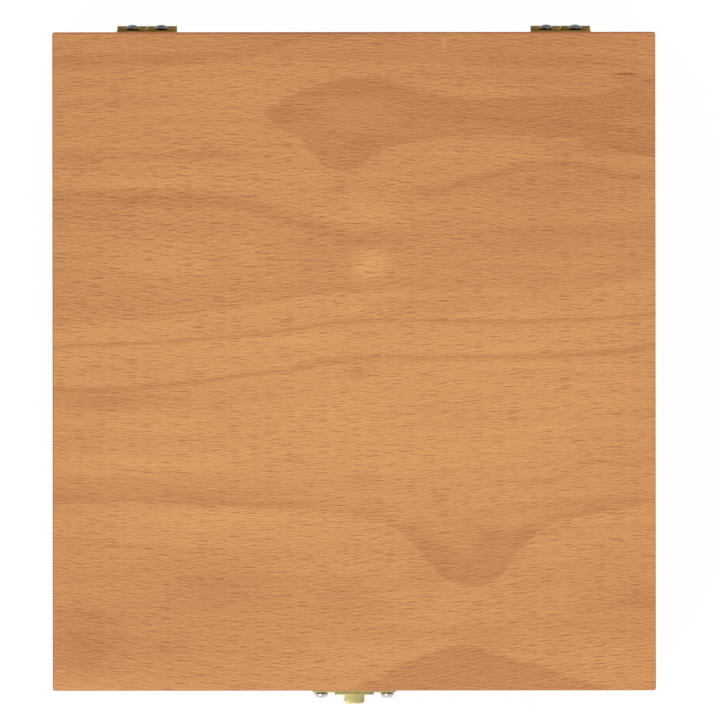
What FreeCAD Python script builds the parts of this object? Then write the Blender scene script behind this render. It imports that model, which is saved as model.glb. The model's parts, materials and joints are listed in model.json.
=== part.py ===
"""Beech watercolour box: hinged lid, hasp latch, pan rack, lift-out palette and a drawer.

All sizes are millimetres. +X is the right side, -Y the front, +Z up, and the origin is the
middle of the underside. The sheet holds every size that can be chosen; all else follows.
"""
import FreeCAD, Part
import os
import re
import Sketcher
from FreeCAD import Rotation, Vector

doc = FreeCAD.newDocument("WatercolourBox")

# ---------------------------------------------------------------- the sizes
SIZES = {
    # the box as a whole
    "box_wide": 250.0, "box_depth": 273.0, "board": 9.0, "corner_round": 1.0,
    "bottom_thick": 4.0, "bay_high": 27.0, "floor_thick": 4.0, "front_high": 31.0,
    "housing": 4.0, "case_fingers": 7, "front_fingers": 2,
    # the lid
    "seam": 0.3, "lid_rail_high": 15.0, "lid_fingers": 3, "lid_panel": 4.0, "panel_round": 0.8,
    # the two back hinges and their raised-head screws
    "hinge_long": 25.0, "hinge_inset": 39.0, "leaf_high": 10.4, "hinge_metal": 0.95,
    "leaf_gap": 0.25, "leaf_round": 1.5, "pin_radius": 0.6, "pin_play": 0.05, "knuckles": 4,
    "knuckle_gap": 0.2, "screw_gap": 12.0, "screw_drop": 5.7, "screw_hole": 1.3,
    "head_radius": 2.8, "head_high": 2.6, "shoulder_radius": 1.9, "shoulder_high": 1.8,
    "shank_radius": 1.1, "shank_long": 7.6, "thread_play": 0.05,
    # the hasp latch on the front
    "plate_wide": 34.6, "plate_metal": 0.9, "plate_round": 1.8, "strike_low": 1.5,
    "strike_high": 12.0, "strike_screw_up": 7.5, "base_top": 2.0, "base_high": 15.0,
    "base_screw_down": 9.0, "plate_screw_gap": 27.4, "tab_wide": 7.0, "tab_thick": 1.0,
    "tab_up": 2.2, "tab_reach": 3.4, "hasp_metal": 0.9, "hasp_gap": 0.3, "hasp_wide": 16.2,
    "hasp_pin_down": 11.5, "hasp_top": 6.6, "window_low": 1.2, "lip_over_tab": 0.4,
    "lip_wide": 8.4, "lip_reach": 5.8, "lip_round": 1.4, "ear_thick": 1.0, "ear_gap": 0.25,
    "stem_wide": 5.6, "hasp_round": 1.2,
    # the pan rack, the half pans and their cakes
    "palette_bay": 127.0, "brush_channel": 23.8, "rack_high": 8.0, "rack_rail": 11.0,
    "slat": 5.0, "rows": 4, "columns": 12, "pan_gap": 1.5, "pan_play": 0.4, "pan_high": 10.5,
    "pan_wall": 0.9, "pan_floor": 1.0, "pan_draft": 3.0, "cake_high": 6.5, "cake_gap": 0.15,
    # the lift-out palette
    "palette_high": 9.0, "palette_gap": 0.8, "palette_rest": 0.3, "palette_rim": 6.0,
    "palette_round": 6.0, "well_depth": 5.5, "well_draft": 12.0, "well_round": 7.0,
    "well_columns": 3, "well_rows": 2, "grip_radius": 9.0,
    # the drawer
    "drawer_side_gap": 0.4, "drawer_top_gap": 0.5, "drawer_run_gap": 0.3, "stop_gap": 0.3,
    "front_lift": 0.8, "drawer_board": 7.0, "drawer_high": 24.0, "lap": 4.5,
    "drawer_panel": 3.0, "panel_lift": 2.0, "panel_groove": 3.0, "drawer_back_gap": 2.0,
    "notch_radius": 14.0, "notch_depth": 9.0, "notch_round": 1.5, "divider": 4.0,
    "divider_high": 17.0, "brush_bay": 46.0, "rear_bay": 94.0,
}
sheet = doc.addObject("Spreadsheet::Sheet", "Sizes")
for row, (alias, value) in enumerate(SIZES.items(), 1):
    sheet.set(f"A{row}", alias.replace("_", " "))
    sheet.set(f"B{row}", str(value))
    sheet.setAlias(f"B{row}", alias)
doc.recompute()


# ---------------------------------------------------------------- expressions and features
def cell(text):
    """An expression in the sheet's words, made into one that the document understands."""
    return re.sub(r"\b(?!tan\b)[a-z_]+", lambda word: "Sizes." + word.group(), text)


def number(text):
    """What an expression in the sheet's words comes to now."""
    return float(sheet.evalExpression(cell(text)))


def start_body(label, x="0", y="0", z="0", half_turn=False, group=False):
    """A body whose place is bound to the sheet; a group may hold several solids."""
    body = doc.addObject("PartDesign::Body", label)
    body.Label = label
    body.AllowCompound = group
    if half_turn:
        body.Placement = FreeCAD.Placement(Vector(), Rotation(Vector(0, 0, 1), 180))
    for axis, place in zip("xyz", (x, y, z)):
        body.setExpression(f"Placement.Base.{axis}", cell(place))
    return body


def role(body, wanted):
    """The body's own origin plane or axis of that role."""
    return [part for part in body.Origin.OriginFeatures if part.Role == wanted][0]


def bind_point(sketch, geometry, corner, u, v):
    """Fix one point of a sketch by its two distances from the sketch's origin."""
    for kind, text in (("DistanceX", u), ("DistanceY", v)):
        rule = Sketcher.Constraint(kind, -1, 1, geometry, corner, number(text))
        index = sketch.addConstraint(rule)
        sketch.setExpression(f"Constraints[{index}]", cell(text))


def polygon(sketch, points):
    """A closed outline of straight lines through bound points."""
    first = sketch.GeometryCount
    spots = [Vector(number(u), number(v), 0) for u, v in points]
    count = len(spots)
    for here in range(count):
        sketch.addGeometry(Part.LineSegment(spots[here], spots[(here + 1) % count]), False)
    for here in range(count):
        after = first + (here + 1) % count
        sketch.addConstraint(Sketcher.Constraint("Coincident", first + here, 2, after, 1))
    for here, (u, v) in enumerate(points):
        bind_point(sketch, first + here, 1, u, v)


def box(left, right, low, high):
    """The four corners of a rectangle."""
    return [(left, low), (right, low), (right, high), (left, high)]


def circle(sketch, u, v, radius):
    """A circle with its centre and radius bound."""
    spot = Vector(number(u), number(v), 0)
    geometry = sketch.addGeometry(Part.Circle(spot, Vector(0, 0, 1), number(radius)), False)
    bind_point(sketch, geometry, 3, u, v)
    index = sketch.addConstraint(Sketcher.Constraint("Radius", geometry, number(radius)))
    sketch.setExpression(f"Constraints[{index}]", cell(radius))


def draw(body, plane, polygons=(), circles=(), lift="0"):
    """A sketch on one of the body's own planes, lifted along that plane's normal."""
    sketch = body.newObject("Sketcher::SketchObject", body.Label + "_sketch")
    sketch.AttachmentSupport = [(role(body, plane), "")]
    sketch.MapMode = "FlatFace"
    sketch.setExpression("AttachmentOffset.Base.z", cell(lift))
    for points in polygons:
        polygon(sketch, points)
    for u, v, radius in circles:
        circle(sketch, u, v, radius)
    return sketch


def pad(body, sketch, length, flip=False, middle=False, draft="0"):
    """Material grown from a sketch along its normal, or against it when flipped."""
    feature = body.newObject("PartDesign::Pad", body.Label + "_pad")
    feature.Profile = sketch
    feature.setExpression("Length", cell(length))
    feature.setExpression("TaperAngle", cell(draft))
    feature.Reversed = flip
    if middle:
        feature.SideType = "Symmetric"
    doc.recompute()
    return feature


def pocket(body, sketch, depth, flip=False, middle=False, draft="0"):
    """Material cut against a sketch's normal, or along it when flipped; it must cut."""
    before = body.Shape.Volume
    feature = body.newObject("PartDesign::Pocket", body.Label + "_cut")
    feature.Profile = sketch
    feature.setExpression("Length", cell(depth))
    feature.setExpression("TaperAngle", cell(draft))
    feature.Reversed = flip
    if middle:
        feature.SideType = "Symmetric"
    doc.recompute()
    if not feature.Shape.Volume < before:
        raise RuntimeError(feature.Name + " cuts nothing")
    return feature


def pattern(body, originals, axis, step, count, flip=False, step_two=None, count_two=None,
            axis_two=None):
    """Copies of features along one axis, or over a grid of two.

    A second direction comes with a stray step of zero, so its steps are all set to -1, which
    means that they follow Offset2.
    """
    feature = body.newObject("PartDesign::LinearPattern", body.Label + "_pattern")
    feature.Originals = originals
    feature.Direction = (role(body, axis), [""])
    feature.Reversed = flip
    feature.Mode = "Spacing"
    feature.setExpression("Offset", cell(step))
    feature.setExpression("Occurrences", cell(count))
    if axis_two:
        feature.Direction2 = (role(body, axis_two), [""])
        feature.Mode2 = "Spacing"
        feature.setExpression("Offset2", cell(step_two))
        feature.setExpression("Occurrences2", cell(count_two))
        doc.recompute()
        feature.Spacings2 = [-1.0] * (int(number(count_two)) - 1)
    body.Tip = feature
    doc.recompute()
    return feature


def ease(body, radius, wanted):
    """Round the edges of the body's last feature that the test picks out."""
    base = body.Tip
    names = [f"Edge{n}" for n, edge in enumerate(base.Shape.Edges, 1) if wanted(edge)]
    feature = body.newObject("PartDesign::Fillet", body.Label + "_round")
    feature.Base = (base, names)
    feature.setExpression("Radius", cell(radius))
    body.Tip = feature
    doc.recompute()
    return feature


def runs_along(edge, axis):
    """Whether an edge is straight and parallel to the axis numbered 0, 1 or 2."""
    if edge.Curve.TypeId != "Part::GeomLine":
        return False
    return abs(abs(edge.Curve.Direction[axis]) - 1) < 1e-6


def lies_at(edge, axis, text):
    """Whether all of an edge has that coordinate, whichever its sign."""
    wanted = abs(number(text))
    return all(abs(abs(end.Point[axis]) - wanted) < 1e-4 for end in edge.Vertexes)


# ---------------------------------------------------------------- heights and faces
inside_x = "(box_wide/2 - board)"
inside_y = "(box_depth/2 - board)"
bay_top = "(bottom_thick + bay_high)"
floor_top = f"({bay_top} + floor_thick)"
rim = f"({bay_top} + front_high)"
finger = f"({rim}/case_fingers)"
lid_low = f"({rim} + seam)"
lid_finger = "(lid_rail_high/lid_fingers)"
rails_top = f"({lid_low} + lid_rail_high)"
seam_middle = f"({rim} + seam/2)"
hinge_x = "(box_wide/2 - hinge_inset)"
knuckle_radius = "(pin_radius + pin_play + hinge_metal)"
bore_radius = "(pin_radius + pin_play)"
pilot_radius = "(shank_radius + thread_play)"


# ---------------------------------------------------------------- boards with comb joints
def side_board(label, hand, low, high, fingers, back_count, front_count):
    """A left or right wall; its two ends are cut with the notches of the comb joints."""
    top = f"({low} + {high})"
    body = start_body(label, x=f"{hand}*{inside_x}")
    face = draw(body, "YZ_Plane", [box("-box_depth/2", "box_depth/2", low, top)])
    pad(body, face, "board", flip=hand < 0)
    notch_low = f"{top} - {fingers}"
    ends = ((inside_y, "box_depth/2", back_count), ("-box_depth/2", f"-{inside_y}", front_count))
    for near, far, count in ends:
        notch = draw(body, "YZ_Plane", [box(near, far, notch_low, top)])
        cut = pocket(body, notch, "board", flip=hand > 0)
        pattern(body, [cut], "Z_Axis", f"2*{fingers}", count, flip=True)
    return body


def cross_board(label, hand, low, high, cuts):
    """A front or back wall; its ends are cut back where the side walls' fingers pass."""
    top = f"({low} + {high})"
    body = start_body(label, y=f"{hand}*{inside_y}")
    face = draw(body, "XZ_Plane", [box("-box_wide/2", "box_wide/2", low, top)])
    pad(body, face, "board", flip=hand > 0)
    notches = []
    for cut_low, cut_high in cuts:
        notches.append(box(inside_x, "box_wide/2", cut_low, cut_high))
        notches.append(box("-box_wide/2", f"-{inside_x}", cut_low, cut_high))
    pocket(body, draw(body, "XZ_Plane", notches), "board", flip=hand < 0)
    return body


def pilot_holes(body, hand, spots):
    """Blind holes for screws, drilled from a front or back wall's outer face."""
    circles = [(x, z, pilot_radius) for x, z in spots]
    outer = draw(body, "XZ_Plane", circles=circles, lift=f"{-hand}*board")
    pocket(body, outer, "shank_long + thread_play", flip=hand > 0)


def round_side(body):
    """Take the sharp corner off a side wall's fingers."""
    ease(body, "corner_round", lambda edge: runs_along(edge, 2)
         and lies_at(edge, 0, "board") and lies_at(edge, 1, "box_depth/2"))


def round_cross(body):
    """Take the sharp corner off a front or back wall's fingers."""
    ease(body, "corner_round", lambda edge: runs_along(edge, 2)
         and lies_at(edge, 0, "box_wide/2") and lies_at(edge, 1, "board"))


# ---------------------------------------------------------------- the case
stop_face = f"({inside_y} - stop_gap)"
for label, hand in (("case_left_side", -1), ("case_right_side", 1)):
    wall = side_board(label, hand, "0", rim, finger, "(case_fingers + 1)/2", "front_fingers")
    groove = draw(wall, "YZ_Plane", [box(f"-{inside_y}", inside_y, bay_top, floor_top)])
    pocket(wall, groove, "housing", flip=hand > 0)
    rebate = draw(wall, "YZ_Plane", [box(f"-{stop_face}", inside_y, "0", "bottom_thick")])
    pocket(wall, rebate, "housing", flip=hand > 0)
    round_side(wall)

hinge_screw_x = [f"{side}*{hinge_x} + {half}*screw_gap/2" for side in (-1, 1) for half in (-1, 1)]
finger_gaps = [(f"{rim} - {2 * n}*{finger}", f"{rim} - {2 * n - 1}*{finger}")
               for n in range(1, (SIZES["case_fingers"] + 1) // 2)]
back = cross_board("case_back", 1, "0", rim, finger_gaps)
pilot_holes(back, 1, [(x, f"{seam_middle} - screw_drop") for x in hinge_screw_x])
round_cross(back)

lowest_gap = (bay_top, f"{rim} - (2*front_fingers - 1)*{finger}")
front_gaps = finger_gaps[:SIZES["front_fingers"] - 1] + [lowest_gap]
front = cross_board("case_upper_front", -1, bay_top, "front_high", front_gaps)
plate_screw_x = ("-plate_screw_gap/2", "plate_screw_gap/2")
pilot_holes(front, -1, [(x, f"{seam_middle} - base_screw_down") for x in plate_screw_x])
round_cross(front)

for label, low, thick, near in (("case_bottom", "0", "bottom_thick", stop_face),
                                ("compartment_floor", bay_top, "floor_thick", inside_y)):
    panel = start_body(label, z=low)
    wide = f"({inside_x} + housing)"
    pad(panel, draw(panel, "XY_Plane", [box(f"-{wide}", wide, f"-{near}", inside_y)]), thick)

# ---------------------------------------------------------------- the lid
for label, hand in (("lid_left_rail", -1), ("lid_right_rail", 1)):
    rail = side_board(label, hand, lid_low, "lid_rail_high", lid_finger,
                      "(lid_fingers + 1)/2", "(lid_fingers + 1)/2")
    round_side(rail)

lid_gaps = [(f"{rails_top} - {2 * n}*{lid_finger}", f"{rails_top} - {2 * n - 1}*{lid_finger}")
            for n in range(1, (SIZES["lid_fingers"] + 1) // 2)]
back_rail = cross_board("lid_back_rail", 1, lid_low, "lid_rail_high", lid_gaps)
pilot_holes(back_rail, 1, [(x, f"{seam_middle} + screw_drop") for x in hinge_screw_x])
round_cross(back_rail)
front_rail = cross_board("lid_front_rail", -1, lid_low, "lid_rail_high", lid_gaps)
pilot_holes(front_rail, -1, [(x, f"{seam_middle} + strike_screw_up") for x in plate_screw_x])
round_cross(front_rail)

lid_top = start_body("lid_top_panel", z=rails_top)
sheet_outline = box("-box_wide/2", "box_wide/2", "-box_depth/2", "box_depth/2")
pad(lid_top, draw(lid_top, "XY_Plane", [sheet_outline]), "lid_panel")
ease(lid_top, "corner_round", lambda edge: runs_along(edge, 2))
ease(lid_top, "panel_round", lambda edge: lies_at(edge, 2, "lid_panel"))


# ---------------------------------------------------------------- the hinges
def hinge_leaf(label, side, up, first):
    """One leaf: a flat plate with every second knuckle of the barrel rolled on its edge.

    up is 1 for the lid's leaf and -1 for the case's; first is the number of the first knuckle.
    """
    body = start_body(label, x=f"{side}*{hinge_x}", y="box_depth/2", z=seam_middle)
    edge_z = f"{up}*({knuckle_radius} + leaf_gap)"
    plate = draw(body, "XZ_Plane",
                 [box("-hinge_long/2", "hinge_long/2", edge_z, f"{up}*leaf_high")])
    pad(body, plate, "hinge_metal", flip=True)
    ease(body, "leaf_round", lambda edge: runs_along(edge, 1) and lies_at(edge, 2, "leaf_high"))
    holes = [(x, f"{up}*screw_drop", "screw_hole") for x in ("-screw_gap/2", "screw_gap/2")]
    pocket(body, draw(body, "XZ_Plane", circles=holes), "hinge_metal")
    pitch = "(hinge_long/knuckles)"
    start = f"-hinge_long/2 + {first}*{pitch} + knuckle_gap/2"
    root = draw(body, "YZ_Plane", [box("0", "hinge_metal", f"{up}*pin_radius", edge_z)], lift=start)
    web = pad(body, root, f"{pitch} - knuckle_gap")
    roll = draw(body, "YZ_Plane", lift=start, circles=[(knuckle_radius, "0", knuckle_radius),
                                                       (knuckle_radius, "0", bore_radius)])
    ring = pad(body, roll, f"{pitch} - knuckle_gap")
    pattern(body, [web, ring], "X_Axis", f"2*{pitch}", "knuckles/2")
    return body


def pin(label, long, x, y, z):
    """A straight round pin along X."""
    body = start_body(label, x=x, y=y, z=z)
    pad(body, draw(body, "YZ_Plane", circles=[("0", "0", "pin_radius")]), long, middle=True)
    return body


for word, side in (("left", -1), ("right", 1)):
    hinge_leaf(word + "_hinge_lid_leaf", side, 1, 0)
    hinge_leaf(word + "_hinge_case_leaf", side, -1, 1)
    pin(word + "_hinge_pin", "hinge_long - knuckle_gap", f"{side}*{hinge_x}",
        f"box_depth/2 + {knuckle_radius}", seam_middle)


def screws(label, y, z, first_x, step, count, step_two="0", count_two="1", half_turn=False):
    """Raised-head screws in a row or two; the head stands on the plate, the shank is in wood."""
    body = start_body(label, x=first_x, y=y, z=z, half_turn=half_turn, group=True)
    profile = [("0", "head_high"), ("0", "-shank_long"), ("shank_radius", "-shank_long + shank_radius"),
               ("shank_radius", "0"), ("head_radius", "0"), ("shoulder_radius", "shoulder_high")]
    sketch = draw(body, "XY_Plane", [profile])
    turn = body.newObject("PartDesign::Revolution", label + "_turn")
    turn.Profile = sketch
    turn.ReferenceAxis = (sketch, ["V_Axis"])
    doc.recompute()
    pattern(body, [turn], "X_Axis", step, count, step_two=step_two, count_two=count_two,
            axis_two="X_Axis" if count_two != "1" else None)
    return body


for label, z in (("lid_hinge_screws", f"{seam_middle} + screw_drop"),
                 ("case_hinge_screws", f"{seam_middle} - screw_drop")):
    screws(label, "box_depth/2 + hinge_metal", z, f"-{hinge_x} - screw_gap/2",
           "screw_gap", "2", f"2*{hinge_x}", "2")

# ---------------------------------------------------------------- the latch
front_face = "-box_depth/2"
hasp_radius = "(pin_radius + pin_play + hasp_metal)"
hasp_inner = "(plate_metal + hasp_gap)"
hasp_axis_out = f"({hasp_inner} + {hasp_radius})"
for label, z in (("strike_screws", f"{seam_middle} + strike_screw_up"),
                 ("latch_base_screws", f"{seam_middle} - base_screw_down")):
    screws(label, f"{front_face} - plate_metal", z, "plate_screw_gap/2",
           "plate_screw_gap", "2", half_turn=True)


def latch_plate(label, low, high, screw_z):
    """A flat plate on the front with a screw hole near each end."""
    body = start_body(label, y=front_face, z=seam_middle)
    plate = draw(body, "XZ_Plane", [box("-plate_wide/2", "plate_wide/2", low, high)])
    pad(body, plate, "plate_metal")
    ease(body, "plate_round", lambda edge: runs_along(edge, 1))
    holes = [(x, screw_z, "screw_hole") for x in plate_screw_x]
    pocket(body, draw(body, "XZ_Plane", circles=holes), "plate_metal", flip=True)
    return body


strike = latch_plate("latch_strike_plate", "strike_low", "strike_low + strike_high",
                     "strike_screw_up")
tab = draw(strike, "XZ_Plane",
           [box("-tab_wide/2", "tab_wide/2", "tab_up", "tab_up + tab_thick")])
pad(strike, tab, "tab_reach")
ease(strike, "lip_round", lambda edge: runs_along(edge, 2) and lies_at(edge, 1, "tab_reach"))

base = latch_plate("latch_base_plate", "-(base_top + base_high)", "-base_top",
                   "-base_screw_down")
ear_in = "(stem_wide/2 + ear_gap)"
across_ears = f"2*({ear_in} + ear_thick)"
for start in (ear_in, f"-({ear_in} + ear_thick)"):
    arm_low = f"-hasp_pin_down - {hasp_radius}"
    arm_high = f"-hasp_pin_down + {hasp_radius}"
    arm = draw(base, "YZ_Plane", [box(f"-{hasp_axis_out}", "0", arm_low, arm_high)], lift=start)
    pad(base, arm, "ear_thick")
    disc = draw(base, "YZ_Plane", lift=start,
                circles=[(f"-{hasp_axis_out}", "-hasp_pin_down", hasp_radius)])
    pad(base, disc, "ear_thick")
bore = draw(base, "YZ_Plane", circles=[(f"-{hasp_axis_out}", "-hasp_pin_down", bore_radius)])
pocket(base, bore, across_ears, middle=True)
pin("latch_pin", across_ears, "0", f"{front_face} - {hasp_axis_out}",
    f"{seam_middle} - hasp_pin_down")

hasp = start_body("latch_hasp", y=f"{front_face} - {hasp_axis_out}",
                  z=f"{seam_middle} - hasp_pin_down")
hasp_back = f"-{hasp_radius}"
shoulder = f"({hasp_radius} + 2*hasp_gap)"
head_top = "(hasp_pin_down + hasp_top)"
tee = [("-stem_wide/2", "0"), ("stem_wide/2", "0"), ("stem_wide/2", shoulder),
       ("hasp_wide/2", shoulder), ("hasp_wide/2", head_top), ("-hasp_wide/2", head_top),
       ("-hasp_wide/2", shoulder), ("-stem_wide/2", shoulder)]
pad(hasp, draw(hasp, "XZ_Plane", [tee], lift=hasp_back), "hasp_metal")
ease(hasp, "hasp_round", lambda edge: runs_along(edge, 1) and lies_at(edge, 0, "hasp_wide/2"))
roll = draw(hasp, "YZ_Plane", circles=[("0", "0", hasp_radius)])
pad(hasp, roll, "stem_wide", middle=True)
lip_low = "(hasp_pin_down + tab_up + tab_thick + lip_over_tab)"
lip = draw(hasp, "XZ_Plane", lift=hasp_back,
           polygons=[box("-lip_wide/2", "lip_wide/2", lip_low, f"{lip_low} + hasp_metal")])
pad(hasp, lip, f"lip_reach - {hasp_inner}")
lip_tip = f"lip_reach - {hasp_axis_out}"
ease(hasp, "lip_round", lambda edge: runs_along(edge, 2) and lies_at(edge, 1, lip_tip))
window = draw(hasp, "XZ_Plane", lift=hasp_back,
              polygons=[box("-lip_wide/2", "lip_wide/2", "hasp_pin_down + window_low", lip_low)])
pocket(hasp, window, "hasp_metal", flip=True)
pocket(hasp, draw(hasp, "YZ_Plane", circles=[("0", "0", bore_radius)]), "stem_wide", middle=True)

# ---------------------------------------------------------------- the pan rack
rack_front = f"(palette_bay - {inside_y})"
rack_deep = f"(2*{inside_y} - palette_bay - brush_channel)"
rack_half = f"({inside_x} - rack_rail)"
slot = f"(({rack_deep} - (rows + 1)*slat)/rows)"
pan_pitch = f"(2*{rack_half}/columns)"
pan_wide = f"({pan_pitch} - pan_gap)"
pan_deep = f"({slot} - 2*pan_play)"
first_column = f"-(columns - 1)*{pan_pitch}/2"
ends = start_body("rack_end_rails", z=floor_top, group=True)
rails = [box(near, far, rack_front, f"{rack_front} + {rack_deep}")
         for near, far in ((f"-{inside_x}", f"-{rack_half}"), (rack_half, inside_x))]
pad(ends, draw(ends, "XY_Plane", rails), "rack_high")

slats = start_body("rack_slats", z=floor_top, group=True)
first_slat_outline = box(f"-{rack_half}", rack_half, rack_front, f"{rack_front} + slat")
first_slat = pad(slats, draw(slats, "XY_Plane", [first_slat_outline]), "rack_high")
pattern(slats, [first_slat], "Y_Axis", f"{slot} + slat", "rows + 1")


def shrink(size, depth):
    """A drafted pan's size, that depth below the pan's rim."""
    return f"({size} - 2*({depth})*tan(pan_draft))"


def middle_box(wide, deep):
    """A rectangle about the origin."""
    return box(f"-{wide}/2", f"{wide}/2", f"-{deep}/2", f"{deep}/2")


def slot_middle(line):
    """How far back the middle of a numbered row of pans lies."""
    return f"({rack_front} + slat + {slot}/2 + {line}*({slot} + slat))"


for line, word in enumerate(("front", "second", "third", "back")[:SIZES["rows"]]):
    pans = start_body(f"half_pans_{word}_row", x=first_column, y=slot_middle(line), z=floor_top,
                      group=True)
    foot = draw(pans, "XY_Plane", [middle_box(shrink(pan_wide, "pan_high"),
                                              shrink(pan_deep, "pan_high"))])
    shell = pad(pans, foot, "pan_high", draft="pan_draft")
    inner_deep = "pan_high - pan_floor"
    hollow_wide = f"({shrink(pan_wide, inner_deep)} - 2*pan_wall)"
    hollow_deep = f"({shrink(pan_deep, inner_deep)} - 2*pan_wall)"
    hollow = draw(pans, "XY_Plane", [middle_box(hollow_wide, hollow_deep)], lift="pan_floor")
    inside = pocket(pans, hollow, inner_deep, flip=True, draft="pan_draft")
    pattern(pans, [shell, inside], "X_Axis", pan_pitch, "columns")

families = ("yellow", "red", "violet", "blue", "green", "earth")
family_columns = f"(columns/{len(families)})"
for order, word in enumerate(families):
    cakes = start_body(f"{word}_cakes", x=f"{first_column} + {order}*{family_columns}*{pan_pitch}",
                       y=slot_middle(0), z=f"{floor_top} + pan_floor", group=True)
    cake_wide = f"({hollow_wide} - 2*cake_gap)"
    cake_deep = f"({hollow_deep} - 2*cake_gap)"
    cake = pad(cakes, draw(cakes, "XY_Plane", [middle_box(cake_wide, cake_deep)]), "cake_high",
               draft="pan_draft")
    pattern(cakes, [cake], "X_Axis", pan_pitch, family_columns,
            step_two=f"{slot} + slat", count_two="rows", axis_two="Y_Axis")

# ---------------------------------------------------------------- the lift-out palette
palette_wide = f"(2*{inside_x} - 2*palette_gap)"
palette_deep = "(palette_bay - 2*palette_gap)"
palette = start_body("mixing_palette", y=f"palette_bay/2 - {inside_y}",
                     z=f"{floor_top} + palette_rest")
pad(palette, draw(palette, "XY_Plane", [middle_box(palette_wide, palette_deep)]), "palette_high")
ease(palette, "palette_round", lambda edge: runs_along(edge, 2))
grips = [(f"{side}*{palette_wide}/2", "0", "grip_radius") for side in (-1, 1)]
pocket(palette, draw(palette, "XY_Plane", circles=grips), "palette_high", flip=True)
wells_wide = f"({palette_wide} - 2*grip_radius - 2*palette_rim)"
well_wide = f"(({wells_wide} - (well_columns - 1)*palette_rim)/well_columns)"
well_back = f"(({palette_deep} - (well_rows + 1)*palette_rim)/well_rows)"
well_left = f"-{wells_wide}/2"
well_near = f"-{palette_deep}/2 + palette_rim"
mouth = draw(palette, "XY_Plane", lift="palette_high",
             polygons=[box(well_left, f"{well_left} + {well_wide}",
                           well_near, f"{well_near} + {well_back}")])
well = pocket(palette, mouth, "well_depth", draft="-well_draft")
pattern(palette, [well], "X_Axis", f"{well_wide} + palette_rim", "well_columns",
        step_two=f"{well_back} + palette_rim", count_two="well_rows", axis_two="Y_Axis")

# ---------------------------------------------------------------- the drawer
drawer_half = f"({inside_x} - drawer_side_gap)"
front_low = "front_lift"
front_top = f"({bay_top} - drawer_top_gap)"
side_low = "(bottom_thick + drawer_run_gap)"
side_top = f"({side_low} + drawer_high)"
panel_low = f"({side_low} + panel_lift)"
panel_top = f"({panel_low} + drawer_panel)"
lap_face = f"-({inside_y} + lap)"
drawer_end = f"({inside_y} - drawer_back_gap)"
clear_half = f"({drawer_half} - drawer_board)"

drawer_front = start_body("drawer_front", y=f"-{inside_y}")
front_outline = box(f"-{drawer_half}", drawer_half, front_low, front_top)
pad(drawer_front, draw(drawer_front, "XZ_Plane", [front_outline]), "board")
notch = draw(drawer_front, "XZ_Plane",
             circles=[("0", f"{front_top} + notch_radius - notch_depth", "notch_radius")])
pocket(drawer_front, notch, "board", flip=True)
laps = [box(clear_half, drawer_half, side_low, side_top),
        box(f"-{drawer_half}", f"-{clear_half}", side_low, side_top),
        box(f"-{clear_half}", clear_half, panel_low, panel_top)]
pocket(drawer_front, draw(drawer_front, "XZ_Plane", laps), "lap", flip=True)
ease(drawer_front, "notch_round", lambda edge: edge.Curve.TypeId == "Part::GeomCircle"
     and abs(edge.Curve.Radius - number("notch_radius")) < 1e-6)

for word, hand in (("left", -1), ("right", 1)):
    drawer_side = start_body(f"drawer_{word}_side", x=f"{hand}*{clear_half}")
    outline = draw(drawer_side, "YZ_Plane", [box(lap_face, drawer_end, side_low, side_top)])
    pad(drawer_side, outline, "drawer_board", flip=hand < 0)
    groove = draw(drawer_side, "YZ_Plane", [box(lap_face, drawer_end, panel_low, panel_top)])
    pocket(drawer_side, groove, "panel_groove", flip=hand > 0)

drawer_back = start_body("drawer_back", y=drawer_end)
back_outline = box(f"-{clear_half}", clear_half, panel_top, side_top)
pad(drawer_back, draw(drawer_back, "XZ_Plane", [back_outline]), "drawer_board")

drawer_bottom = start_body("drawer_bottom", z=panel_low)
grooved_half = f"({clear_half} + panel_groove)"
bottom_outline = [(f"-{grooved_half}", f"-{inside_y}"), (f"-{clear_half}", f"-{inside_y}"),
                  (f"-{clear_half}", lap_face), (clear_half, lap_face),
                  (clear_half, f"-{inside_y}"), (grooved_half, f"-{inside_y}"),
                  (grooved_half, drawer_end), (f"-{grooved_half}", drawer_end)]
pad(drawer_bottom, draw(drawer_bottom, "XY_Plane", [bottom_outline]), "drawer_panel")

divider_top = f"({panel_top} + divider_high)"
half_lap = f"({panel_top} + divider_high/2)"
brush_y = f"(brush_bay - {inside_y})"
rear_y = f"({brush_y} + divider + rear_bay)"
long_low, long_high = f"({brush_y} + divider)", f"({drawer_end} - drawer_board)"
third = f"({clear_half}/3)"
for label, place in (("drawer_brush_divider", brush_y), ("drawer_rear_divider", rear_y)):
    cross_divider = start_body(label, y=place)
    divider_outline = box(f"-{clear_half}", clear_half, panel_top, divider_top)
    pad(cross_divider, draw(cross_divider, "XZ_Plane", [divider_outline]), "divider", flip=True)
crossings = [box(f"{side}*{third} - divider/2", f"{side}*{third} + divider/2", half_lap, divider_top)
             for side in (-1, 1)]
pocket(cross_divider, draw(cross_divider, "XZ_Plane", crossings), "divider")
for word, side in (("left", -1), ("right", 1)):
    long_divider = start_body(f"drawer_{word}_divider", x=f"{side}*{third} - divider/2")
    divider_outline = box(long_low, long_high, panel_top, divider_top)
    pad(long_divider, draw(long_divider, "YZ_Plane", [divider_outline]), "divider")
    crossing = box(rear_y, f"{rear_y} + divider", panel_top, half_lap)
    pocket(long_divider, draw(long_divider, "YZ_Plane", [crossing]), "divider", flip=True)

# ---------------------------------------------------------------- check and write
doc.recompute()
for part in doc.Objects:
    if "Invalid" in part.State or "Error" in part.State:
        raise RuntimeError(f"{part.Name} failed: {part.State}")
bodies = [part for part in doc.Objects if part.TypeId == "PartDesign::Body"]
for body in bodies:
    if body.Shape.isNull() or not body.Shape.isValid():
        raise RuntimeError(body.Label + " has no valid shape")
os.makedirs("parts", exist_ok=True)
for body in bodies:
    body.Shape.exportStep(f"parts/{body.Label}.step")
print(len(bodies), "sub-parts,", sum(len(body.Shape.Solids) for body in bodies), "solids")
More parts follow.
